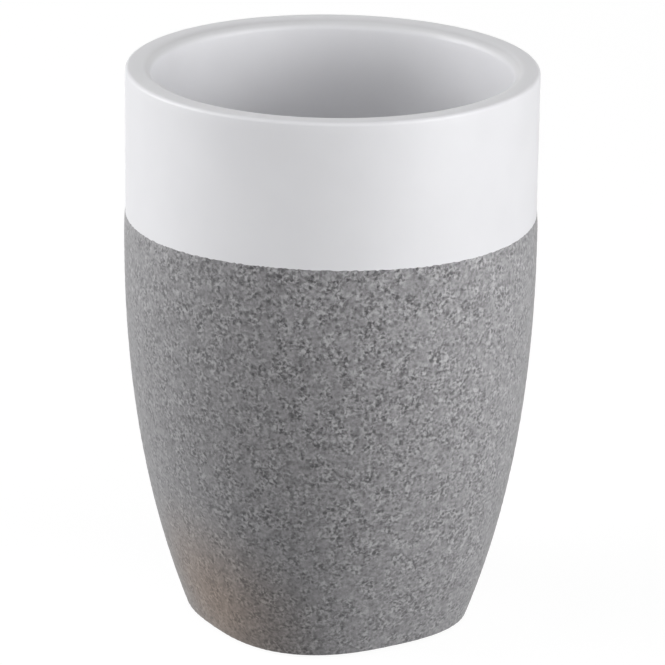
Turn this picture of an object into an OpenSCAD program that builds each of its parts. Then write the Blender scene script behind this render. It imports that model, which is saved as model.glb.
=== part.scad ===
// Bathroom tumbler: a slip-cast stoneware cup with a round rim and a soft square foot.
// A white glaze covers it inside and out, and a stone-textured coat covers the lower part of the outside.
// Origin: on the axis, in the plane the tumbler stands on. +Z is up, and the foot's flats face X and Y.

/* [Tumbler] */
// Height from the plane it stands on to the top of the rim
height = 112; // [96:0.2:130]
// Outside diameter of the glazed band under the rim
rim_d = 80; // [72:1:90]
// Length of the straight upper wall, from the rim down
straight_h = 34.8; // [31:0.2:50]
// Height of the plain glazed band, from the rim down to the coat's edge
band_h = 28.8; // [16:0.1:30]
// Width of the bare foot across its flats
foot_w = 51; // [44:0.2:60]
// Squareness of the foot: 2 is a circle, and more is squarer
foot_squareness = 2.6; // [2:0.1:3.2]
// How soon the square foot turns round on the way up: 1 is slow, and more is sooner
squareness_fade = 1.9; // [1:0.1:3]

/* [Stoneware] */
// Thickness of the stoneware wall
wall = 4.3; // [3.6:0.1:4.8]
// Thickness of the stoneware under the inside floor
floor_t = 4.6; // [3.4:0.1:8]
// Radius between the inside floor and the wall
floor_fillet_r = 8; // [4:0.5:12]
// Rounding on the outside of the bare lip
lip_outer_r = 0.45; // [0.3:0.05:2.2]
// Rounding on the inside of the bare lip
lip_inner_r = 1.8; // [1.4:0.1:2.6]
// Rounding of the bottom outer edge
edge_r = 0.8; // [0.7:0.1:3]

/* [Foot ring] */
// Width of the foot ring, from the foot's outline to the recess
ring_w = 4; // [3:0.1:6]
// Depth of the recess inside the foot ring
recess_depth = 1.8; // [1.6:0.1:2.2]
// Rounding of the foot ring's inner edge
ring_edge_r = 0.5; // [0.3:0.05:0.6]
// Fillet between the recess wall and its ceiling
recess_fillet_r = 0.9; // [0.6:0.05:1]

/* [Finishes] */
// Thickness of the white glaze
glaze_t = 0.35; // [0.2:0.05:0.6]
// Mean thickness of the stone-textured coat
coat_t = 0.2; // [0.15:0.05:0.6]
// Thickness of the glaze in the recess
base_glaze_t = 0.3; // [0.2:0.05:0.4]

/* [Feet] */
// Diameter of a bumper foot
pad_d = 8; // [6:0.5:10]
// Height of a bumper foot
pad_h = 2; // [1.8:0.1:2.6]
// Rounding of a bumper foot's lower edge
pad_edge_r = 0.8; // [0.4:0.1:1.2]
// Thickness of the adhesive disc over a foot
adhesive_t = 0.2; // [0.1:0.05:0.3]
// How far inside a foot's edge its adhesive disc stops
adhesive_inset = 0.4; // [0.2:0.1:0.8]
// Gap between a foot and the recess wall
pad_gap = 1.6; // [1:0.1:3]

/* [Smoothness] */
// Facets around the cup
segments = 64; // [48:8:64]

/* [Hidden] */

// Steps along each curve of the profile
wall_steps = 8;
inner_steps = 6;
fillet_steps = 4;
lip_steps = 3;
edge_steps = 2;
// Facets around a bumper foot and along its rounding
pad_facets = 64;

quarter_turn = 90;
half_turn = 180;
full_turn = 360;
corners = 4;

// The most of the wall that each rounding of the lip may take
lip_outer_share = 0.45;
lip_inner_share = 0.54;
lip_outer = min(lip_outer_r, wall * lip_outer_share);
lip_inner = min(lip_inner_r, wall * lip_inner_share);

// Heights: the feet lift the foot ring clear of the ground
foot_z = pad_h + adhesive_t + base_glaze_t - recess_depth;
ceiling_z = foot_z + recess_depth;
floor_z = ceiling_z + floor_t;
lip_z = height - glaze_t;
round_z = height - straight_h;
band_z = height - band_h;

// The wall's profile at a flat: straight, then one arc that meets the straight wall smoothly
body_r = rim_d / 2 - glaze_t;
taper_h = round_z - foot_z;
taper_in = body_r - foot_w / 2;
arc_r = (pow(taper_h, 2) + pow(taper_in, 2)) / (2 * taper_in);
arc_x = body_r - arc_r;

// Bottom edge: an arc inside the wall's arc, touching it and the foot plane
edge_z = foot_z + edge_r;
edge_turn = asin((round_z - edge_z) / (arc_r - edge_r));
edge_x = arc_x + (arc_r - edge_r) * cos(edge_turn);
// The finishes stop where the coat's face comes level with the foot plane
finish_turn = asin(edge_r / (edge_r + glaze_t + coat_t));

// Inside: the wall's inner face, and the fillet that touches it and the floor
inner_arc_r = arc_r - wall;
fillet_z = floor_z + floor_fillet_r;
fillet_turn = asin((round_z - fillet_z) / (inner_arc_r - floor_fillet_r));
fillet_x = arc_x + (inner_arc_r - floor_fillet_r) * cos(fillet_turn);

// Feet: one in each corner of the recess
pad_reach = foot_w / 2 * plan_share(quarter_turn / 2, foot_squareness) - ring_w - pad_gap - pad_d / 2;

// The foot's squareness at a height, fading to a circle where the straight wall starts
function squareness(z) =
    2 + (foot_squareness - 2) * pow(min(1, max(0, (round_z - z) / taper_h)), squareness_fade);

// Radius of the plan at an angle, as a share of its radius at a flat
function plan_share(a, m) = pow(pow(abs(cos(a)), m) + pow(abs(sin(a)), m), -1 / m);

// A station is one point of the profile: the plan's radius at a flat, its squareness, what is added
// to that radius, the height, and the outward direction of the bare surface there.
function station(flat_r, m, added_r, z, out_r, out_z) = [flat_r, m, added_r, z, out_r, out_z];
function added_r(s) = s[2];
function station_z(s) = s[3];

// The same station on a face that lies a thickness outside the bare surface
function lifted(s, t) = station(s[0], s[1], added_r(s) + t * s[4], station_z(s) + t * s[5], s[4], s[5]);

// The station's outline as a ring of points
function ring(s) = [
    for (i = [0:segments - 1])
        let (a = full_turn * i / segments, r = s[0] * plan_share(a, s[1]) + added_r(s))
            [r * cos(a), r * sin(a), station_z(s)]
];

// Wall stations, by how far the wall has turned from upright, outside and inside
function wall_r(turn) = arc_x + arc_r * cos(turn);
function wall_z(turn) = round_z - arc_r * sin(turn);
function outer_station(turn) =
    station(wall_r(turn), squareness(wall_z(turn)), 0, wall_z(turn), cos(turn), -sin(turn));
function inner_station(turn) =
    station(wall_r(turn), squareness(wall_z(turn)), -wall * cos(turn), round_z - inner_arc_r * sin(turn),
            -cos(turn), sin(turn));

// A rounding's station: its centre, its radius and the direction from the centre. A hollow one faces inwards.
function round_station(flat_r, m, x, z, r, a, facing) =
    station(flat_r, m, x + r * cos(a) - flat_r, z + r * sin(a), facing * cos(a), facing * sin(a));

// Inside floor, from its flat's edge up the fillet
fillet_flat_r = wall_r(fillet_turn);
fillet_m = squareness(wall_z(fillet_turn));
inner_floor = [
    for (i = [0:fillet_steps])
        let (a = -quarter_turn + (quarter_turn - fillet_turn) * i / fillet_steps)
            round_station(fillet_flat_r, fillet_m, fillet_x, fillet_z, floor_fillet_r, a, -1)
];
inner_wall = [for (i = [1:inner_steps]) inner_station(fillet_turn * (1 - i / inner_steps))];

// The lip: an inner rounding, a narrow flat and an outer rounding
inner_lip = [
    for (i = [0:lip_steps])
        let (a = half_turn - quarter_turn * i / lip_steps)
            round_station(body_r, 2, body_r - wall + lip_inner, lip_z - lip_inner, lip_inner, a, 1)
];
outer_lip = [
    for (i = [0:lip_steps])
        let (a = quarter_turn - quarter_turn * i / lip_steps)
            round_station(body_r, 2, body_r - lip_outer, lip_z - lip_outer, lip_outer, a, 1)
];

// Outside, below the lip: the coat's edge, the tapering wall, and the bottom edge as far as the finishes go
coated_wall = concat(
    [station(body_r, 2, 0, band_z, 1, 0)],
    [for (i = [0:wall_steps]) outer_station(edge_turn * i / wall_steps)],
    [for (i = [1:edge_steps]) edge_station(edge_turn + (finish_turn - edge_turn) * i / edge_steps)]
);
function edge_station(turn) =
    round_station(foot_w / 2, foot_squareness, edge_x, edge_z, edge_r, -turn, 1);
bare_edge = [
    for (i = [1:edge_steps]) edge_station(finish_turn + (quarter_turn - finish_turn) * i / edge_steps)
];

// Underside: the foot ring's inner edge, then the recess wall and the fillet to its ceiling
recess_x = foot_w / 2 - ring_w;
ring_edge = [
    for (i = [0:edge_steps - 1])
        let (a = -quarter_turn - quarter_turn * i / edge_steps)
            round_station(foot_w / 2, foot_squareness, recess_x + ring_edge_r, foot_z + ring_edge_r,
                          ring_edge_r, a, 1)
];
recess = concat(
    [station(foot_w / 2, foot_squareness, -ring_w, foot_z + ring_edge_r, -1, 0)],
    [
        for (i = [0:edge_steps])
            let (a = quarter_turn * i / edge_steps)
                round_station(foot_w / 2, foot_squareness, recess_x - recess_fillet_r,
                              ceiling_z - recess_fillet_r, recess_fillet_r, a, -1)
    ]
);

glazed = concat(inner_floor, inner_wall, inner_lip, outer_lip, coated_wall);
profile = concat(glazed, bare_edge, ring_edge, recess);

// Triangles between two rings of points, seen from outside or from within
function band(a, b, outside) = [
    for (i = [0:segments - 1])
        let (j = (i + 1) % segments, p = a * segments + i, q = a * segments + j,
             u = b * segments + i, v = b * segments + j)
            each outside ? [[p, v, u], [p, q, v]] : [[p, u, v], [p, v, q]]
];

// A sheet: the bands between rings that follow one another
function sheet(first, count, outside) =
    [for (i = [first:first + count - 2]) each band(i, i + 1, outside)];

// The fan from a point on the axis to the ring around it
function fan(pole, a, outside) = [
    for (i = [0:segments - 1])
        let (p = a * segments + i, q = a * segments + (i + 1) % segments)
            outside ? [pole, q, p] : [pole, p, q]
];

// A layer of one finish between two depths over the bare surface, closed at its edges or on the axis
module layer(stations, low, high, starts_on_axis = false, ends_on_axis = false) {
    count = len(stations);
    last = count - 1;
    pole = 2 * count * segments;
    axis_station = starts_on_axis ? stations[0] : stations[last];
    axis_ring = starts_on_axis ? 0 : last;
    points = concat(
        [for (s = stations) each ring(lifted(s, high))],
        [for (s = stations) each ring(lifted(s, low))],
        starts_on_axis || ends_on_axis
            ? [for (t = [high, low]) [0, 0, station_z(lifted(axis_station, t))]]
            : []
    );
    faces = concat(
        sheet(0, count, true),
        sheet(count, count, false),
        starts_on_axis ? [] : band(0, count, false),
        ends_on_axis ? [] : band(last, count + last, true),
        starts_on_axis || ends_on_axis
            ? concat(fan(pole, axis_ring, starts_on_axis), fan(pole + 1, count + axis_ring, ends_on_axis))
            : []
    );
    polyhedron(points, faces, convexity = 10);
}

module ceramic_body() {
    count = len(profile);
    pole = count * segments;
    points = concat([for (s = profile) each ring(s)], [[0, 0, floor_z], [0, 0, ceiling_z]]);
    faces = concat(sheet(0, count, true), fan(pole, 0, true), fan(pole + 1, count - 1, false));
    color("linen") polyhedron(points, faces, convexity = 10);
}

module white_glaze() {
    color("white") layer(glazed, 0, glaze_t, starts_on_axis = true);
}

module base_glaze() {
    color("whitesmoke") layer(recess, 0, base_glaze_t, ends_on_axis = true);
}

module stone_coat() {
    color("darkgray") layer(coated_wall, glaze_t, glaze_t + coat_t);
}

// Each foot's place, with its top against the underside of the base glaze
module at_feet() {
    for (i = [0:corners - 1])
        rotate([0, 0, quarter_turn * (i + 1 / 2)])
            translate([pad_reach, 0, 0])
                children();
}

module foot_pads() {
    color("gainsboro") at_feet()
        rotate_extrude($fn = pad_facets)
            difference() {
                union() {
                    square([pad_d / 2 - pad_edge_r, pad_h]);
                    translate([0, pad_edge_r]) square([pad_d / 2, pad_h - pad_edge_r]);
                    translate([pad_d / 2 - pad_edge_r, pad_edge_r]) circle(pad_edge_r, $fn = pad_facets);
                }
                translate([-pad_d, 0]) square([pad_d, pad_h]);
            }
}

module foot_adhesive() {
    color("lightgray") at_feet()
        translate([0, 0, pad_h])
            cylinder(h = adhesive_t, r = pad_d / 2 - adhesive_inset, $fn = pad_facets);
}

ceramic_body();
white_glaze();
base_glaze();
stone_coat();
foot_pads();
foot_adhesive();
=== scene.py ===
"""Bathroom tumbler: a white satin-glazed stoneware cup with a grey sand-textured coat on its lower part."""
import math

import bpy
import numpy as np
from mathutils import Matrix, Vector


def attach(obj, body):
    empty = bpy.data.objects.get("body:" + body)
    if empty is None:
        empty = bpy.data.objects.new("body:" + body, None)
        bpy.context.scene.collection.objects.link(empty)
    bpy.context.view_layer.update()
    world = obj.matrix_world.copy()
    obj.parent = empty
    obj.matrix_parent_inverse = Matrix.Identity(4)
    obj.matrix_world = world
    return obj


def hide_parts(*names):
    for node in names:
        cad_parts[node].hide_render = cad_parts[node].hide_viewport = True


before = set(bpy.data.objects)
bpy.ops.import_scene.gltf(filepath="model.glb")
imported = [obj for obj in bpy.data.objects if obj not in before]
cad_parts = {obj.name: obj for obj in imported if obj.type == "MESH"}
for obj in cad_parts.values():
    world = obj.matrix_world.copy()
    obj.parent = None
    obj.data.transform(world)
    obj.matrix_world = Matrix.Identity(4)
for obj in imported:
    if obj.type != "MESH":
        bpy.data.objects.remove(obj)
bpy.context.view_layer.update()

# Sizes are in millimetres until a mesh or a node gets them, unless a comment says metres
MM = 0.001
QUARTER = math.pi / 2

# The cup, as the solids have it
HEIGHT = 112.0
RIM_D = 80.0
STRAIGHT_H = 34.8
BAND_H = 28.8
FOOT_W = 51.0
WALL = 4.3
FLOOR_T = 4.6
FLOOR_FILLET_R = 8.0
LIP_OUTER_R = 0.45
LIP_INNER_R = 1.8
EDGE_R = 0.8
RING_W = 4.0
RECESS_DEPTH = 1.8
RING_EDGE_R = 0.5
RECESS_FILLET_R = 0.9
GLAZE_T = 0.35
COAT_T = 0.2
BASE_GLAZE_T = 0.3
PAD_H = 2.0
ADHESIVE_T = 0.2
# The plan's exponent on the straight wall and at the foot, and how late on the way down it changes
CIRCLE = 2
FOOT_SQUARENESS = 2.6
SQUARENESS_FADE = 1.9

# Places that follow from them. The taper is one arc, upright where it leaves the straight wall.
FOOT_Z = PAD_H + ADHESIVE_T + BASE_GLAZE_T - RECESS_DEPTH
CEILING_Z = FOOT_Z + RECESS_DEPTH
FLOOR_Z = CEILING_Z + FLOOR_T
LIP_Z = HEIGHT - GLAZE_T
ROUND_Z = HEIGHT - STRAIGHT_H
BAND_Z = HEIGHT - BAND_H
BODY_R = RIM_D / 2 - GLAZE_T
TAPER_H = ROUND_Z - FOOT_Z
TAPER_IN = BODY_R - FOOT_W / 2
ARC_R = (TAPER_H**2 + TAPER_IN**2) / (2 * TAPER_IN)
ARC_X = BODY_R - ARC_R
EDGE_Z = FOOT_Z + EDGE_R
EDGE_TURN = math.asin((ROUND_Z - EDGE_Z) / (ARC_R - EDGE_R))
EDGE_X = ARC_X + (ARC_R - EDGE_R) * math.cos(EDGE_TURN)
FINISH_TURN = math.asin(EDGE_R / (EDGE_R + GLAZE_T + COAT_T))
INNER_ARC_R = ARC_R - WALL
FILLET_Z = FLOOR_Z + FLOOR_FILLET_R
FILLET_TURN = math.asin((ROUND_Z - FILLET_Z) / (INNER_ARC_R - FLOOR_FILLET_R))
FILLET_X = ARC_X + (INNER_ARC_R - FLOOR_FILLET_R) * math.cos(FILLET_TURN)

WHITE = "#FFFFFF"
# The glazes' whites, where they lie thin and where they pooled, and how wide those patches are
GLAZE_WHITES = ("#E5E5E8", "#EBEBEE")
BASE_GLAZE_WHITES = ("#DFDFDD", "#E9E9E7")
GLAZE_POOL = 24
# The size of the glaze's faint peel, and how deep it looks
GLAZE_PEEL = 2.6
GLAZE_BUMP = 0.012
# How far down the lip its glaze runs thin, and what that does to its white, up to the flat top
LIP_THIN_H = 1.7
LIP_THIN_TONES = [(0.0, WHITE), (0.45, "#EFEFEE"), (0.8, "#EFEFEE"), (0.97, WHITE)]

# The coat's pattern: how far apart its grains, pits, clusters and swells lie. The real sand is finer than
# half a millimetre, too fine to show, so the grains and pits are drawn a little coarser.
COAT_MOTTLE = 0.68
COAT_PIT = 0.85
COAT_CLUSTER = 2.6
COAT_SWELL = 2.2
# How far the pits are pushed out of round, and over what distance
COAT_PUSH = 0.6
COAT_DRIFT = 0.8
# Where a pit's floor ends and its rim is, in distances from its middle as a share of the pits' spacing
PIT_FLOOR = 0.1
PIT_RIM = 0.5
# Parts of the pattern's height, which is 0 to 1: its level, the grains, the pits and the swells
COAT_LEVEL = 0.52
COAT_MOTTLE_RISE = 1.3
COAT_PIT_DEPTH = 0.42
COAT_SWELL_RISE = 0.4
# How strongly the relief shows between the clusters and in them, and the span of noise that parts the two
COAT_CLUSTER_LEAST = 0.5
COAT_CLUSTER_MOST = 1.6
CLUSTER_FROM = 0.35
CLUSTER_TO = 0.65
# How deep the relief looks
COAT_BUMP = 0.012
# Its tones, from the bottom of a pit to the crown of a pale grain: the grains' own random tone, with painted
# shade darkening the pits and painted light paling the crowns
COAT_TONES = [(0.1, "#525153"), (0.36, "#787779"), (0.55, "#949395"), (0.85, "#BAB9BB")]
# Its painted sheen, paler at a grazing look: the tone of the grains' crowns, the most that they hide the
# rest, and how soon they begin to
PAINTED_SHEEN_TONE = "#CBCBCD"
PAINTED_SHEEN_SHARE = 0.26
PAINTED_SHEEN_BLEND = 0.66
# Painted light: which way the coat's two paler sides face, in degrees from the X axis, and how much paler
# they are painted
PAINTED_LIGHT_DEGREES = -65.3
PAINTED_LIGHT_SHARE = 0.11
# Painted shade: its tone at the foot, as a share of that at the top of the taper, darker where the taper
# leans under
COAT_FOOT_SHADE_SHARE = 0.82
# Its painted warm bounce light: the tint, the middle, and how far that reaches
BOUNCE_TINT = "#FFEAD8"
BOUNCE_PLACE = (-31.0, -6.0, 7.0)
BOUNCE_REACH = 28.0

# Fineness of the meshes: facets around the cup, the distance between stations along its profile, and the
# stations of a rounding. The coat's hidden underface has only a few rows.
SMOOTH_AROUND = 224
SMOOTH_STEP = 1.4
ROUNDING_STEPS = 10
COAT_AROUND = 512
COAT_STEP = 0.5
COAT_UNDER_ROWS = 12
# Edges that turn by more than this many degrees stay sharp
SHARP_DEGREES = 50

# The coat's grit: the lattice's cell, after how many cells it repeats, and how high a grain stands
GRIT_CELL = 0.8
GRIT_PERIOD = 64
GRIT_RISE = 0.07
GRIT_SEED = 7
# A grain's radius as a share of the lattice's cell: the least, and how much more the largest has
GRAIN_LEAST_SHARE = 0.45
GRAIN_SPREAD_SHARE = 0.4
# The coat's thickness at its edges as a share of the whole, and how far under the masked line it is whole
COAT_EDGE_SHARE = 0.3
COAT_SHOULDER = 3.0
# The masked line: how far it wanders up and down in a few waves, where a crest is, and how ragged it is
LINE_WAVE = 0.28
LINE_WAVES = 3
LINE_CREST_DEGREES = 231.7
LINE_JITTER = 0.2
LINE_SEED = 3


def plan_share(angle, squareness):
    """Radius of the soft square at an angle, as a share of its radius at a flat: the sum of the cosine's and
    the sine's size, each to the power of the squareness, to the power of minus one over the squareness."""
    total = np.abs(np.cos(angle)) ** squareness + np.abs(np.sin(angle)) ** squareness
    return total ** (-1 / squareness)


def squareness_at(z):
    """The plan's exponent at a height: a circle's where the wall is straight, growing to the foot's as a
    power of the way down."""
    way_down = np.clip((ROUND_Z - z) / TAPER_H, 0, 1)
    return CIRCLE + (FOOT_SQUARENESS - CIRCLE) * way_down**SQUARENESS_FADE


def stations(flat_r, squareness, added_r, z, out_r, out_z):
    """Points of the profile, one per row: radius at a flat, squareness, added radius, height, and the
    outward direction of the bare surface."""
    columns = np.broadcast_arrays(*np.atleast_1d(flat_r, squareness, added_r, z, out_r, out_z))
    return np.stack(columns, axis=-1).astype(float)


def outer_wall(turn):
    """The outside of the wall where it has turned by an angle from upright: a point on the taper's arc."""
    z = ROUND_Z - ARC_R * np.sin(turn)
    return stations(ARC_X + ARC_R * np.cos(turn), squareness_at(z), 0, z, np.cos(turn), -np.sin(turn))


def inner_wall(turn):
    """The inside of the wall: the outer wall's point moved in by the wall's thickness, square to the
    arc."""
    outer = outer_wall(turn)
    z = ROUND_Z - INNER_ARC_R * np.sin(turn)
    return stations(outer[:, 0], outer[:, 1], -WALL * np.cos(turn), z, -np.cos(turn), np.sin(turn))


def rounding(flat_r, squareness, x, z, r, angle, facing=1):
    """An arc of the profile about a centre; facing is 1 on an outer rounding and -1 in a hollow one."""
    return stations(flat_r, squareness, x + r * np.cos(angle) - flat_r, z + r * np.sin(angle),
                    facing * np.cos(angle), facing * np.sin(angle))


def evenly(start, end, length, step):
    """Values from start to end, about one for each step of the length between them."""
    return np.linspace(start, end, max(2, round(length / step) + 1))


def bottom_edge(start, end, steps):
    """The rounding between the wall and the foot plane, by its turn from upright."""
    return rounding(FOOT_W / 2, FOOT_SQUARENESS, EDGE_X, EDGE_Z, EDGE_R, -np.linspace(start, end, steps))


def inside_and_lip():
    """From the edge of the inside floor's flat up the fillet and the wall, and over the lip."""
    fillet_wall = outer_wall(FILLET_TURN)[0]
    lip_r = BODY_R - WALL + LIP_INNER_R
    straight = evenly(ROUND_Z, LIP_Z - LIP_INNER_R, STRAIGHT_H, SMOOTH_STEP)[1:-1]
    return np.concatenate([
        rounding(fillet_wall[0], fillet_wall[1], FILLET_X, FILLET_Z, FLOOR_FILLET_R,
                 np.linspace(-QUARTER, -FILLET_TURN, ROUNDING_STEPS), facing=-1),
        inner_wall(evenly(FILLET_TURN, 0, INNER_ARC_R * FILLET_TURN, SMOOTH_STEP)[1:]),
        stations(BODY_R, CIRCLE, -WALL, straight, -1, 0),
        rounding(BODY_R, CIRCLE, lip_r, LIP_Z - LIP_INNER_R, LIP_INNER_R,
                 np.linspace(math.pi, QUARTER, ROUNDING_STEPS)),
        rounding(BODY_R, CIRCLE, BODY_R - LIP_OUTER_R, LIP_Z - LIP_OUTER_R, LIP_OUTER_R,
                 np.linspace(QUARTER, 0, ROUNDING_STEPS)),
    ])


def outside(step):
    """From under the lip down the straight wall and the taper, and round the bottom edge to the coat's
    end."""
    return np.concatenate([
        stations(BODY_R, CIRCLE, 0, evenly(LIP_Z - LIP_OUTER_R, ROUND_Z, STRAIGHT_H, step)[1:-1], 1, 0),
        outer_wall(evenly(0, EDGE_TURN, ARC_R * EDGE_TURN, step)),
        bottom_edge(EDGE_TURN, FINISH_TURN, ROUNDING_STEPS)[1:],
    ])


def underside():
    """From the coat's end round to the foot ring, its inner edge, the recess wall and the fillet above."""
    foot_r = FOOT_W / 2
    return np.concatenate([
        bottom_edge(FINISH_TURN, QUARTER, ROUNDING_STEPS)[1:],
        rounding(foot_r, FOOT_SQUARENESS, foot_r - RING_W + RING_EDGE_R, FOOT_Z + RING_EDGE_R, RING_EDGE_R,
                 np.linspace(-QUARTER, -math.pi, ROUNDING_STEPS)[:-1]),
        recess(),
    ])


def recess():
    """The recess from the top of the foot ring's inner edge: its wall, then the fillet to the ceiling."""
    foot_r = FOOT_W / 2
    return np.concatenate([
        stations(foot_r, FOOT_SQUARENESS, -RING_W, FOOT_Z + RING_EDGE_R, -1, 0),
        rounding(foot_r, FOOT_SQUARENESS, foot_r - RING_W - RECESS_FILLET_R, CEILING_Z - RECESS_FILLET_R,
                 RECESS_FILLET_R, np.linspace(0, QUARTER, ROUNDING_STEPS), facing=-1),
    ])


def rings(profile, thickness, around):
    """The profile carried round the plan, lifted outwards by a thickness: points by station and angle."""
    angle = np.linspace(0, math.tau, around, endpoint=False)
    flat_r, squareness, added_r, z, out_r, out_z = (column[:, None] for column in profile.T)
    r = flat_r * plan_share(angle, squareness) + added_r + thickness * out_r
    height = np.broadcast_to(z + thickness * out_z, r.shape)
    return np.stack([r * np.cos(angle), r * np.sin(angle), height], axis=-1)


def quads(rows, around, first=0, outward=True):
    """Faces between rings that follow one another, their corners counter-clockwise seen from outside."""
    row, column = np.meshgrid(np.arange(rows - 1), np.arange(around), indexing="ij")
    after = (column + 1) % around
    corners = [row * around + column, (row + 1) * around + column,
               (row + 1) * around + after, row * around + after]
    faces = first + np.stack(corners, axis=-1).reshape(-1, 4)
    return faces if outward else faces[:, ::-1]


def joined(ring_a, ring_b, around):
    """A strip of faces between two rings, given by the numbers of their first points."""
    column = np.arange(around)
    after = (column + 1) % around
    return np.stack([ring_a + column, ring_b + column, ring_b + after, ring_a + after], axis=-1)


def fan(pole, ring, around, outward=True):
    """Triangles from a point on the axis to the ring around it."""
    column = np.arange(around)
    faces = np.stack([np.full(around, pole), ring + column, ring + (column + 1) % around], axis=-1)
    return faces if outward else faces[:, ::-1]


def piece(name, points, faces, material, replaced, body="root"):
    """A finished piece of the tumbler, from points in millimetres and groups of faces."""
    mesh = bpy.data.meshes.new(name)
    mesh.from_pydata((points * MM).tolist(), [], [face for group in faces for face in group.tolist()])
    mesh.polygons.foreach_set("use_smooth", np.ones(len(mesh.polygons), dtype=bool))
    mesh.set_sharp_from_angle(angle=math.radians(SHARP_DEGREES))
    mesh.materials.append(material)
    made = bpy.data.objects.new(name, mesh)
    bpy.context.collection.objects.link(made)
    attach(made, body)
    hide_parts(replaced)
    return made


def on_axis(height):
    """A point on the cup's axis."""
    return np.array([[0, 0, height]])


def make_body(material):
    """The stoneware cup: the whole profile from the inside floor over the lip to the recess ceiling."""
    profile = np.concatenate([inside_and_lip(), outside(SMOOTH_STEP), underside()])
    grid = rings(profile, 0, SMOOTH_AROUND)
    count = grid[..., 0].size
    points = np.concatenate([grid.reshape(-1, 3), on_axis(FLOOR_Z), on_axis(CEILING_Z)])
    faces = [
        quads(len(profile), SMOOTH_AROUND),
        fan(count, 0, SMOOTH_AROUND),
        fan(count + 1, count - SMOOTH_AROUND, SMOOTH_AROUND, outward=False),
    ]
    return piece("stoneware_cup", points, faces, material, "ceramic_body")


def skin(profile, thickness, under_axis_z, top_axis_z, axis_first):
    """Points and faces of a closed skin that reaches the axis at one end of its profile: the profile lifted
    by the thickness, the bare profile under it, a point on the axis for each, and a strip that joins the two
    where the profile ends away from the axis."""
    top = rings(profile, thickness, SMOOTH_AROUND)
    under = rings(profile, 0, SMOOTH_AROUND)
    count = top[..., 0].size
    last = count - SMOOTH_AROUND
    at_axis, end = (0, (last, count + last)) if axis_first else (last, (count, 0))
    points = np.concatenate([top.reshape(-1, 3), under.reshape(-1, 3),
                             on_axis(top_axis_z), on_axis(under_axis_z)])
    faces = [
        quads(len(profile), SMOOTH_AROUND),
        quads(len(profile), SMOOTH_AROUND, first=count, outward=False),
        joined(*end, SMOOTH_AROUND),
        fan(2 * count, at_axis, SMOOTH_AROUND, outward=axis_first),
        fan(2 * count + 1, count + at_axis, SMOOTH_AROUND, outward=not axis_first),
    ]
    return points, faces


def make_glaze(material):
    """The glaze: one skin over the inside, the lip and the outside, closed under the coat's lower end."""
    profile = np.concatenate([inside_and_lip(), outside(SMOOTH_STEP)])
    points, faces = skin(profile, GLAZE_T, FLOOR_Z, FLOOR_Z + GLAZE_T, axis_first=True)
    return piece("glaze_skin", points, faces, material, "white_glaze")


def make_base_glaze(material):
    """The glaze in the recess: a skin on its wall and ceiling, closed at the foot ring and on the axis."""
    points, faces = skin(recess(), BASE_GLAZE_T, CEILING_Z, CEILING_Z - BASE_GLAZE_T, axis_first=False)
    return piece("recess_glaze", points, faces, material, "base_glaze")


def grit(points, cell, seed):
    """Height of packed grains, from 0 in a pit to 1 on a crown. Each cell of a lattice holds one grain at a
    random place and of a random size, and the height is the most that any grain of the 27 cells around a
    point gives there: one less the square of the distance over the grain's radius."""
    grains = np.random.default_rng(seed).random((GRIT_PERIOD,) * 3 + (4,))
    home = np.floor(points / cell).astype(int)
    best = np.zeros(len(points))
    steps = np.stack(np.meshgrid(*[[-1, 0, 1]] * 3, indexing="ij"), axis=-1).reshape(-1, 3)
    for step in steps:
        place = home + step
        grain = grains[tuple((place % GRIT_PERIOD).T)]
        centre = (place + grain[:, :3]) * cell
        radius = cell * (GRAIN_LEAST_SHARE + GRAIN_SPREAD_SHARE * grain[:, 3])
        rise = 1 - np.sum((points - centre) ** 2, axis=1) / radius**2
        best = np.maximum(best, rise)
    return best


def hand_masked(grid):
    """The coat's rings with their heights shifted by the masked line's wander, which fades out evenly over
    the shoulder: a cosine with a few waves round the cup, and one random value for each angle."""
    angle = np.linspace(0, math.tau, COAT_AROUND, endpoint=False)
    wander = LINE_WAVE * np.cos(LINE_WAVES * (angle - math.radians(LINE_CREST_DEGREES)))
    wander = wander + LINE_JITTER * (np.random.default_rng(LINE_SEED).random(COAT_AROUND) - 0.5)
    grid[..., 2] += wander * np.clip(1 - (BAND_Z - grid[..., 2]) / COAT_SHOULDER, 0, 1)
    return grid


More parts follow.
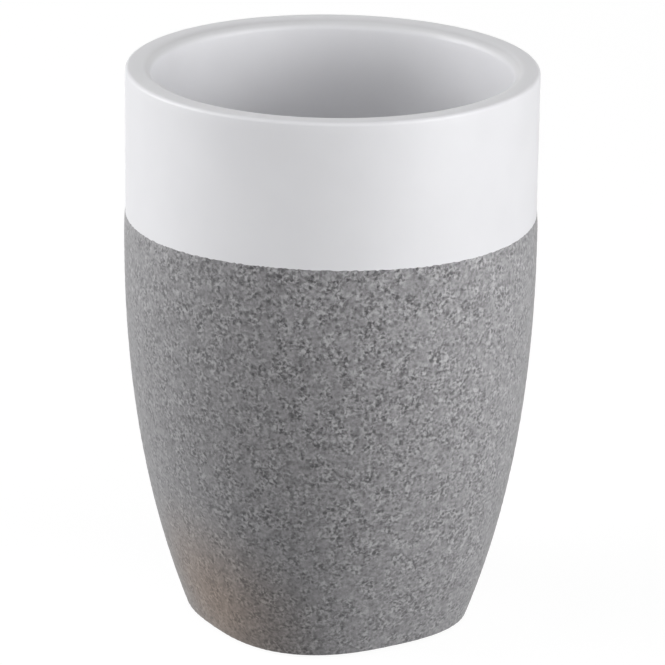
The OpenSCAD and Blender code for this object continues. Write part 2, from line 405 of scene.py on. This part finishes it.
def make_coat(material):
    """The sand-textured coat: a skin over the glaze from the masked line to the bottom edge. Its thickness
    rises as a sine over a shoulder under the line and falls the same way over its last rows, and grit rises
    and falls about it."""
    below_line = outside(COAT_STEP)
    below_line = below_line[below_line[:, 3] < BAND_Z - COAT_STEP / 2]
    line = stations(BODY_R, CIRCLE, 0, BAND_Z - np.array([0, COAT_STEP / 3]), 1, 0)
    profile = np.concatenate([line, below_line])
    glaze_face = rings(profile, GLAZE_T, COAT_AROUND)
    grain = grit(glaze_face.reshape(-1, 3), GRIT_CELL, GRIT_SEED).reshape(glaze_face.shape[:2])
    depth = (BAND_Z - profile[:, 3:4]) / COAT_SHOULDER
    shoulder = COAT_EDGE_SHARE + (1 - COAT_EDGE_SHARE) * np.sin(QUARTER * np.clip(depth, 0, 1))
    from_end = np.arange(len(profile))[::-1, None] / ROUNDING_STEPS
    taper = COAT_EDGE_SHARE + (1 - COAT_EDGE_SHARE) * np.sin(QUARTER * np.clip(from_end, 0, 1))
    thickness = COAT_T * np.minimum(shoulder, taper) + GRIT_RISE * shoulder * taper * (grain - grain.mean())
    top = hand_masked(rings(profile, GLAZE_T + thickness, COAT_AROUND))
    few = profile[np.unique(np.linspace(0, len(profile) - 1, COAT_UNDER_ROWS).round().astype(int))]
    under = hand_masked(rings(few, GLAZE_T, COAT_AROUND))
    count = top[..., 0].size
    points = np.concatenate([top.reshape(-1, 3), under.reshape(-1, 3)])
    faces = [
        quads(len(profile), COAT_AROUND),
        quads(len(few), COAT_AROUND, first=count, outward=False),
        joined(count, 0, COAT_AROUND),
        joined(count - COAT_AROUND, count + (len(few) - 1) * COAT_AROUND, COAT_AROUND),
    ]
    return piece("sand_coat", points, faces, material, "stone_coat")


def srgb(code):
    """A hex colour as linear red, green, blue and alpha."""
    parts = [int(code[i:i + 2], 16) / 255 for i in (1, 3, 5)]
    linear = [p / 12.92 if p <= 0.04045 else ((p + 0.055) / 1.055) ** 2.4 for p in parts]
    return (*linear, 1.0)


def node(tree, kind, settings=None, links=None, numbered=None, stops=(), **values):
    """Adds a node of a kind, sets its properties, its sockets' values by number or name and a ramp's stops,
    and links its sockets to others. A stop is a pair of place and hex colour."""
    made = tree.nodes.new(kind)
    for name, value in (settings or {}).items():
        setattr(made, name, value)
    for number, value in (numbered or {}).items():
        made.inputs[number].default_value = value
    for name, value in values.items():
        made.inputs[name.replace("_", " ")].default_value = value
    for name, source in (links or {}).items():
        tree.links.new(source, made.inputs[name])
    for place, _ in stops[1:-1]:
        made.color_ramp.elements.new(place)
    for number, (place, code) in enumerate(stops):
        made.color_ramp.elements[number].position = place
        made.color_ramp.elements[number].color = srgb(code)
    return made


def per_metre(millimetres):
    """A texture's scale for a pattern that repeats about every so many millimetres."""
    return 1 / (millimetres * MM)


def new_material(name, **values):
    """A node material with a Principled surface, whose sockets get the values given by name. Returns the
    material, its tree, the surface and the Object coordinates that its patterns read."""
    material = bpy.data.materials.new(name)
    material.use_nodes = True
    tree = material.node_tree
    surface = tree.nodes["Principled BSDF"]
    for socket, value in values.items():
        surface.inputs[socket.replace("_", " ")].default_value = value
    return material, tree, surface, node(tree, "ShaderNodeTexCoord").outputs["Object"]


def clouded_material(name, patch, detail, tones, **values):
    """A node material whose tone follows clouds of about so many millimetres. Returns the material, its
    tree, the surface and the clouds."""
    material, tree, surface, place = new_material(name, **values)
    clouds = node(tree, "ShaderNodeTexNoise", links={"Vector": place}, Scale=per_metre(patch),
                  Detail=detail)
    tone = node(tree, "ShaderNodeValToRGB", links={"Fac": clouds.outputs["Fac"]}, stops=tones)
    tree.links.new(tone.outputs["Color"], surface.inputs["Base Color"])
    return material, tree, surface, clouds.outputs["Fac"]


# The sockets of a Mix node that takes colours: its share, its two colours and its result
MIX_SHARE = 0
MIX_FROM = 6
MIX_TO = 7
MIX_RESULT = 2


def thin_over_lip(tree, place, tone):
    """The glaze's tone, greyed where it runs thin over the lip's inner edge: a ramp of the height near the
    lip, whole up to the middle of the wall and fading from there to its outside."""
    level = node(tree, "ShaderNodeSeparateXYZ", links={"Vector": place})
    reach = node(tree, "ShaderNodeMapRange", None, {"Value": level.outputs["Z"]},
                 From_Min=(HEIGHT - LIP_THIN_H) * MM, From_Max=HEIGHT * MM)
    thin = node(tree, "ShaderNodeValToRGB", links={"Fac": reach.outputs[0]}, stops=LIP_THIN_TONES)
    in_plan = node(tree, "ShaderNodeVectorMath", {"operation": "MULTIPLY"}, {0: place},
                   {1: (1.0, 1.0, 0.0)})
    radius = node(tree, "ShaderNodeVectorMath", {"operation": "LENGTH"}, {0: in_plan.outputs[0]})
    inside = node(tree, "ShaderNodeMapRange", None, {"Value": radius.outputs["Value"]},
                  From_Min=(BODY_R - WALL / 2) * MM, From_Max=BODY_R * MM, To_Min=1.0, To_Max=0.0)
    greyed = node(tree, "ShaderNodeMix", {"data_type": "RGBA", "blend_type": "MULTIPLY"},
                  {MIX_SHARE: inside.outputs[0], MIX_FROM: tone, MIX_TO: thin.outputs["Color"]})
    return greyed.outputs[MIX_RESULT]


# Satin glaze on stoneware, dipped and fired: a smooth white skin whose broad reflections are soft
def satin_glaze(name, whites):
    material, tree, surface, place = new_material(name, Roughness=0.45, IOR=1.5)
    pooling = node(tree, "ShaderNodeTexNoise", links={"Vector": place}, Scale=per_metre(GLAZE_POOL),
                   Detail=3.0)
    tone = node(tree, "ShaderNodeValToRGB", links={"Fac": pooling.outputs["Fac"]},
                stops=[(0.3, whites[0]), (0.7, whites[1])])
    tree.links.new(thin_over_lip(tree, place, tone.outputs["Color"]), surface.inputs["Base Color"])
    peel = node(tree, "ShaderNodeTexNoise", links={"Vector": place}, Scale=per_metre(GLAZE_PEEL),
                Detail=2.0)
    bump = node(tree, "ShaderNodeBump", links={"Height": peel.outputs["Fac"]}, Strength=0.5,
                Distance=GLAZE_BUMP * MM)
    tree.links.new(bump.outputs["Normal"], surface.inputs["Normal"])
    return material


def packed_grit(tree, place):
    """The height of the coat's pattern: grains and pits, times the strength of their cluster, plus swells
    about a level."""
    # Grains: a fine mottle about zero
    mottle = node(tree, "ShaderNodeTexNoise", links={"Vector": place}, Scale=per_metre(COAT_MOTTLE),
                  Detail=2.0, Distortion=0.5)
    grains = node(tree, "ShaderNodeMath", {"operation": "MULTIPLY_ADD"}, {0: mottle.outputs["Fac"]},
                  {1: COAT_MOTTLE_RISE, 2: -COAT_MOTTLE_RISE / 2})
    # Pits: a spot in each cell, as deep as its random share, pushed out of round
    drift = node(tree, "ShaderNodeTexNoise", links={"Vector": place}, Scale=per_metre(COAT_DRIFT),
                 Detail=1.0)
    pushed = node(tree, "ShaderNodeVectorMath", {"operation": "MULTIPLY_ADD"},
                  {0: drift.outputs["Color"], 2: place}, {1: (COAT_PUSH * MM,) * 3})
    cells = node(tree, "ShaderNodeTexVoronoi", links={"Vector": pushed.outputs[0]},
                 Scale=per_metre(COAT_PIT))
    random = node(tree, "ShaderNodeSeparateColor", links={"Color": cells.outputs["Color"]})
    depth = node(tree, "ShaderNodeMath", {"operation": "MULTIPLY"}, {0: random.outputs["Red"]},
                 {1: -COAT_PIT_DEPTH})
    pits = node(tree, "ShaderNodeMapRange", None,
                {"Value": cells.outputs["Distance"], "To Min": depth.outputs[0]},
                From_Min=PIT_FLOOR, From_Max=PIT_RIM, To_Max=0.0)
    relief = node(tree, "ShaderNodeMath", {"operation": "ADD"}, {0: grains.outputs[0], 1: pits.outputs[0]})
    # Clusters: where the grains stand out, and where the coat lies smoother
    cluster = node(tree, "ShaderNodeTexNoise", links={"Vector": place}, Scale=per_metre(COAT_CLUSTER),
                   Detail=1.0)
    strength = node(tree, "ShaderNodeMapRange", None, {"Value": cluster.outputs["Fac"]},
                    From_Min=CLUSTER_FROM, From_Max=CLUSTER_TO,
                    To_Min=COAT_CLUSTER_LEAST, To_Max=COAT_CLUSTER_MOST)
    relief = node(tree, "ShaderNodeMath", {"operation": "MULTIPLY"},
                  {0: relief.outputs[0], 1: strength.outputs[0]})
    # Swells: thicker and thinner spray, and the level that the whole height is about
    swell = node(tree, "ShaderNodeTexNoise", links={"Vector": place}, Scale=per_metre(COAT_SWELL),
                 Detail=2.0)
    swell = node(tree, "ShaderNodeMath", {"operation": "MULTIPLY_ADD"}, {0: swell.outputs["Fac"]},
                 {1: COAT_SWELL_RISE, 2: COAT_LEVEL - COAT_SWELL_RISE / 2})
    height = node(tree, "ShaderNodeMath", {"operation": "ADD"}, {0: relief.outputs[0], 1: swell.outputs[0]})
    return height.outputs[0]


def painted_light_and_shade(tree, place, tone):
    """The coat's tone with painted light and shade: paler on two opposite sides as painted light, as the
    cosine of twice the turn from them, and evenly darker towards the foot as painted shade, where the taper
    leans under."""
    # Painted light: paler on two opposite sides
    across = node(tree, "ShaderNodeSeparateXYZ", links={"Vector": place})
    turn = node(tree, "ShaderNodeMath", {"operation": "ARCTAN2"},
                {0: across.outputs["Y"], 1: across.outputs["X"]})
    turn = node(tree, "ShaderNodeMath", {"operation": "MULTIPLY_ADD"}, {0: turn.outputs[0]},
                {1: 2.0, 2: -2 * math.radians(PAINTED_LIGHT_DEGREES)})
    facing = node(tree, "ShaderNodeMath", {"operation": "COSINE"}, {0: turn.outputs[0]})
    # Painted shade: darker towards the foot
    foot_shade = node(tree, "ShaderNodeMapRange", None, {"Value": across.outputs["Z"]},
                   From_Max=ROUND_Z * MM, To_Min=COAT_FOOT_SHADE_SHARE, To_Max=1.0)
    share = node(tree, "ShaderNodeMath", {"operation": "MULTIPLY_ADD"},
                 {0: facing.outputs[0], 2: foot_shade.outputs[0]}, {1: PAINTED_LIGHT_SHARE})
    return node(tree, "ShaderNodeVectorMath", {"operation": "SCALE"},
                {0: tone, "Scale": share.outputs[0]}).outputs[0]


def painted_sheen(tree, tone):
    """The coat's tone under a painted sheen: its colour is mixed towards a pale tone at a grazing look,
    where the grains' pale crowns hide the pits between them."""
    grazing = node(tree, "ShaderNodeLayerWeight", Blend=PAINTED_SHEEN_BLEND)
    sheen = node(tree, "ShaderNodeMath", {"operation": "MULTIPLY"}, {0: grazing.outputs["Facing"]},
                 {1: PAINTED_SHEEN_SHARE})
    return node(tree, "ShaderNodeMix", {"data_type": "RGBA"}, {MIX_SHARE: sheen.outputs[0], MIX_FROM: tone},
                {MIX_TO: srgb(PAINTED_SHEEN_TONE)}).outputs[MIX_RESULT]


def painted_warm_bounce(tree, place, tone):
    """The coat's tone with a faint painted warm bounce light, which fades smoothly from a middle low on one
    side.
    """
    away = node(tree, "ShaderNodeVectorMath", {"operation": "DISTANCE"}, {0: place},
                {1: tuple(MM * size for size in BOUNCE_PLACE)})
    bounce_share = node(tree, "ShaderNodeMapRange", {"interpolation_type": "SMOOTHSTEP"},
                {"Value": away.outputs["Value"]}, From_Max=BOUNCE_REACH * MM, To_Min=1.0, To_Max=0.0)
    return node(tree, "ShaderNodeMix", {"data_type": "RGBA", "blend_type": "MULTIPLY"},
                {MIX_SHARE: bounce_share.outputs[0], MIX_FROM: tone}, {MIX_TO: srgb(BOUNCE_TINT)}).outputs[MIX_RESULT]


# Sand-filled coating, sprayed and cured: matte packed grains in clusters, with pits between them that
# painted shade darkens. It mirrors hardly anything, and a painted sheen makes it paler at a grazing look.
def sand_coating():
    material, tree, surface, place = new_material(
        "sprayed_sand_coating", Roughness=0.6, Specular_IOR_Level=0.2,
        Sheen_Weight=0.4, Sheen_Roughness=0.3)
    height = packed_grit(tree, place)
    # The tone follows the height: darker in the pits as painted shade, paler on the crowns as painted light,
    # over the grains' own mottle
    tone = node(tree, "ShaderNodeValToRGB", links={"Fac": height}, stops=COAT_TONES)
    # The tone then gets painted light on two sides, painted shade at the foot, a painted sheen and a painted
    # warm bounce light
    tone = painted_warm_bounce(tree, place, painted_sheen(tree, painted_light_and_shade(tree, place, tone.outputs["Color"])))
    tree.links.new(tone, surface.inputs["Base Color"])
    bump = node(tree, "ShaderNodeBump", links={"Height": height}, Strength=1.0, Distance=COAT_BUMP * MM)
    tree.links.new(bump.outputs["Normal"], surface.inputs["Normal"])
    return material


# Bare stoneware, slip-cast, fired and wiped: a dry warm white with fine specks
def bare_stoneware():
    material, tree, surface, specks = clouded_material(
        "wiped_bare_stoneware", patch=1.2, detail=4.0,
        tones=[(0.3, "#CFC6B6"), (0.6, "#E0D9CB"), (0.8, "#E9E3D8")], Roughness=0.82)
    bump = node(tree, "ShaderNodeBump", links={"Height": specks}, Strength=0.6, Distance=0.05 * MM)
    tree.links.new(bump.outputs["Normal"], surface.inputs["Normal"])
    return material


# Silicone bumper, moulded: milky and half clear, with a soft gloss and a little dust
def moulded_silicone():
    return clouded_material(
        "moulded_clear_silicone", patch=0.9, detail=4.0, tones=[(0.35, "#D5DADA"), (0.7, "#E6EAEA")],
        Roughness=0.3, IOR=1.41, Transmission_Weight=0.55)[0]


# Acrylic adhesive film under each foot: a thin cloudy disc
def adhesive_film():
    return clouded_material(
        "acrylic_adhesive_film", patch=1.5, detail=3.0, tones=[(0.3, "#D6D2C6"), (0.7, "#E3E0D6")],
        Roughness=0.4)[0]


def dress(name, material):
    """Gives a node of the solids its finish."""
    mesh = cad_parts[name].data
    mesh.materials.clear()
    mesh.materials.append(material)


# Camera: where it stands from the cup's middle and its tilt, in degrees and millimetres, and its lens. They
# come from fitting the cup's outline to the photograph's. The lens's length is in pixels of that frame.
CAMERA_AZIMUTH = -30.3
CAMERA_ELEVATION = 18.78
CAMERA_ROLL = 0.734
CAMERA_DISTANCE = 850.0
LENS_PIXELS = 4324.0
AIM_Z = 56.4
AIM_X_PIXEL = 329.39
AIM_Y_PIXEL = 339.18
FRAME_PIXELS = 665.0
SENSOR_MM = 36.0


def from_cup(azimuth, elevation):
    """The direction from the cup to a place, by its azimuth and elevation in degrees."""
    a, e = math.radians(azimuth), math.radians(elevation)
    return Vector((math.sin(a) * math.cos(e), -math.cos(a) * math.cos(e), math.sin(e)))


def make_camera():
    """A long lens aimed at the cup's middle, with the small shift that puts it where the photograph has
    it."""
    data = bpy.data.cameras.new("camera")
    data.sensor_width = SENSOR_MM
    data.lens = LENS_PIXELS / FRAME_PIXELS * SENSOR_MM
    data.shift_x = (FRAME_PIXELS / 2 - AIM_X_PIXEL) / FRAME_PIXELS
    data.shift_y = (AIM_Y_PIXEL - FRAME_PIXELS / 2) / FRAME_PIXELS
    camera = bpy.data.objects.new("camera", data)
    bpy.context.collection.objects.link(camera)
    back = from_cup(CAMERA_AZIMUTH, CAMERA_ELEVATION)
    level = Vector((0, 0, 1)).cross(back).normalized()
    upright = back.cross(level)
    roll = math.radians(CAMERA_ROLL)
    right = level * math.cos(roll) + upright * math.sin(roll)
    up = upright * math.cos(roll) - level * math.sin(roll)
    turned = Matrix((right, up, back)).transposed().to_4x4()
    place = Vector((0, 0, AIM_Z * MM)) + back * (CAMERA_DISTANCE * MM)
    camera.matrix_world = Matrix.Translation(place) @ turned
    bpy.context.scene.camera = camera


# Softboxes: azimuth from the camera (right is positive) and elevation in degrees, width, height and level.
# These sizes are in metres, and a level of 1 lights a white card that faces it to white.
SOFTBOX_DISTANCE = 1.3
SOFTBOXES = {
    "right_softbox": (62, 9, 1.0, 0.7, 0.98),
    "left_softbox": (-93, 8, 1.0, 0.9, 0.96),
    "left_upper_softbox": (-75, 30, 1.0, 0.9, 0.32),
    "front_softbox": (10, 5, 0.8, 0.6, 0.14),
    "front_upper_softbox": (12, 35, 0.8, 0.6, 0.2),
    "back_softbox": (180, 25, 1.0, 0.8, 0.125),
}


def make_softbox(name, azimuth, elevation, width, height, level):
    """A rectangular area light aimed at the cup's middle."""
    data = bpy.data.lights.new(name, "AREA")
    data.shape = "RECTANGLE"
    data.size = width
    data.size_y = height
    data.energy = level * math.pi**2 * SOFTBOX_DISTANCE**2
    lamp = bpy.data.objects.new(name, data)
    bpy.context.collection.objects.link(lamp)
    back = from_cup(CAMERA_AZIMUTH + azimuth, elevation)
    lamp.rotation_euler = back.to_track_quat("Z", "Y").to_euler()
    lamp.location = Vector((0, 0, AIM_Z * MM)) + back * SOFTBOX_DISTANCE


def seen_or_mirrored(tree):
    """1 for rays that the camera, a reflection or a clear material sends, and 0 for light that scatters."""
    path = node(tree, "ShaderNodeLightPath")
    some = node(tree, "ShaderNodeMath", {"operation": "MAXIMUM"},
                {0: path.outputs["Is Camera Ray"], 1: path.outputs["Is Glossy Ray"]})
    return node(tree, "ShaderNodeMath", {"operation": "MAXIMUM"},
                {0: some.outputs[0], 1: path.outputs["Is Transmission Ray"]}).outputs[0]


def make_world():
    """A plain room: dark for the light that scatters, and white where it is seen or mirrored."""
    world = bpy.data.worlds.new("white_room")
    world.use_nodes = True
    bpy.context.scene.world = world
    tree = world.node_tree
    tree.nodes.clear()
    white = node(tree, "ShaderNodeBackground", links={"Strength": seen_or_mirrored(tree)},
                 Color=srgb(WHITE))
    node(tree, "ShaderNodeOutputWorld", links={"Surface": white.outputs[0]})


# The floor: its width in metres, its own tone, and what lifts it to white where it is seen
FLOOR_WIDTH = 6.0
FLOOR_TONE = "#606060"
FLOOR_LIFT = 0.94


def make_floor():
    """A pale floor that keeps the cup's shadow, lifted to white where it is seen."""
    half = FLOOR_WIDTH / 2
    mesh = bpy.data.meshes.new("floor")
    corners = [(-half, -half, 0), (half, -half, 0), (half, half, 0), (-half, half, 0)]
    mesh.from_pydata(corners, [], [(0, 1, 2, 3)])
    material = bpy.data.materials.new("pale_floor")
    material.use_nodes = True
    tree = material.node_tree
    tree.nodes.clear()
    matte = node(tree, "ShaderNodeBsdfDiffuse", Color=srgb(FLOOR_TONE))
    lift = node(tree, "ShaderNodeEmission", Color=srgb(WHITE), Strength=FLOOR_LIFT)
    lifted = node(tree, "ShaderNodeAddShader", links={0: matte.outputs[0], 1: lift.outputs[0]})
    chosen = node(tree, "ShaderNodeMixShader",
                  links={0: seen_or_mirrored(tree), 1: matte.outputs[0], 2: lifted.outputs[0]})
    node(tree, "ShaderNodeOutputMaterial", links={"Surface": chosen.outputs[0]})
    mesh.materials.append(material)
    floor = bpy.data.objects.new("floor", mesh)
    bpy.context.collection.objects.link(floor)


make_camera()
make_world()
make_floor()
for name, settings in SOFTBOXES.items():
    make_softbox(name, *settings)

bpy.context.scene.view_settings.view_transform = "Standard"

make_body(bare_stoneware())
make_glaze(satin_glaze("satin_stoneware_glaze", GLAZE_WHITES))
make_base_glaze(satin_glaze("satin_base_glaze", BASE_GLAZE_WHITES))
make_coat(sand_coating())
dress("foot_pads", moulded_silicone())
dress("foot_adhesive", adhesive_film())
